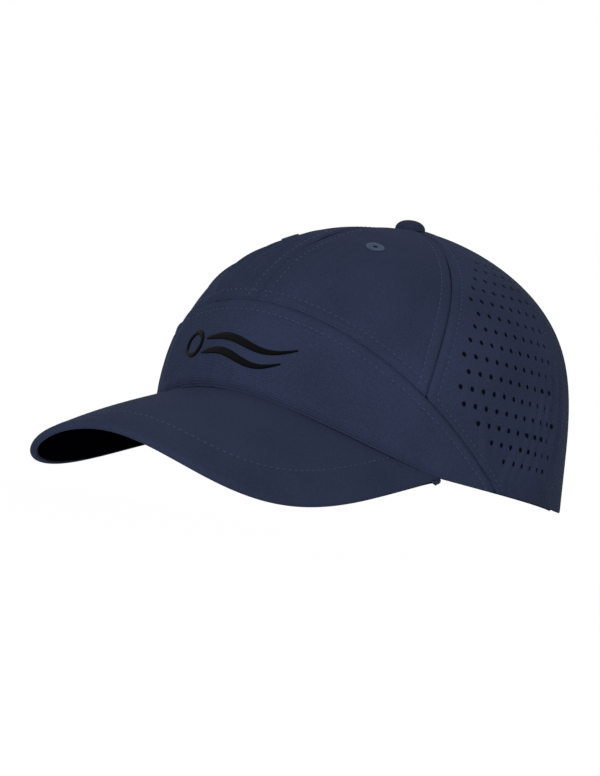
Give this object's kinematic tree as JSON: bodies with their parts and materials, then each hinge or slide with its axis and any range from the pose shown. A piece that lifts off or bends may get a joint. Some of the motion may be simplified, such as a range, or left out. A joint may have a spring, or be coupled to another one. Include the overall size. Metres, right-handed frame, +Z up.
{
  "type": "bump cap",
  "caption": "Navy cloth bump cap with a curved visor, perforated rear panels, a removable padded hard shell inside and a rear size strap with a lever buckle.",
  "frame": {"origin": "centre of the head opening, at the level of the rear rim", "axes": "+Z up, -Y the way the wearer looks, +X the wearer's left"},
  "size_m": [0.172, 0.2744, 0.1232],
  "materials": {
    "crown_cloth": "matte",
    "visor_cloth": "matte",
    "eyelet_thread": "matte",
    "mark_black": "matte",
    "button_cloth": "matte",
    "rivet_metal": "satin",
    "lining_tape": "matte",
    "backing": "matte",
    "board_plastic": "matte",
    "under_visor_cloth": "matte",
    "sweatband_cloth": "matte",
    "foam": "matte",
    "label_cloth": "matte",
    "strap_webbing": "matte",
    "buckle_plastic": "satin",
    "pin_steel": "satin",
    "hook_and_loop": "matte",
    "shell_plastic": "satin"
  },
  "bodies": {
    "crown": {"front_panel": "crown_cloth", "upper_front_panel_left": "crown_cloth", "upper_front_panel_right": "crown_cloth", "rear_panel_left": "crown_cloth", "rear_panel_right": "crown_cloth", "front_panel_backing": "backing", "vent_eyelets": "eyelet_thread", "front_mark": "mark_black", "top_button": "button_cloth", "button_rivet": "rivet_metal", "front_seam_tape": "lining_tape", "centre_front_tape": "lining_tape", "side_seam_tapes": "lining_tape", "centre_rear_tape": "lining_tape", "visor_board": "board_plastic", "visor_top_cover": "visor_cloth", "visor_under_cover": "under_visor_cloth", "sweatband_foam": "foam", "sweatband_cover": "sweatband_cloth", "care_label": "label_cloth", "rear_arch_binding": "lining_tape", "strap_sleeves": "lining_tape", "shell_loop_patches": "hook_and_loop", "buckle_tab": "strap_webbing", "buckle_frame": "buckle_plastic", "buckle_pin": "pin_steel"},
    "insert": {"hard_shell": "shell_plastic", "shell_hook_patches": "hook_and_loop", "crown_pad": "foam", "front_pad": "foam", "side_pads": "foam", "rear_pad": "foam", "pad_fasteners": "hook_and_loop"},
    "strap": {"size_strap": "strap_webbing", "strap_tip": "buckle_plastic"},
    "lever": {"buckle_lever": "buckle_plastic"}
  },
  "joints": [
    {"name": "insert_release", "type": "slide", "parent": "crown", "child": "insert", "axis": [0, 0, -1], "range_m": [0, 0.14]},
    {"name": "strap_adjust", "type": "hinge", "parent": "crown", "child": "strap", "pos_m": [0, 0.02527, 0.014], "axis": [0, 0, -1], "range_deg": [-6, 14]},
    {"name": "buckle_lever", "type": "hinge", "parent": "crown", "child": "lever", "pos_m": [0.01908, 0.09649, 0.014], "axis": [0, 0, -1], "range_deg": [0, 100]}
  ]
}
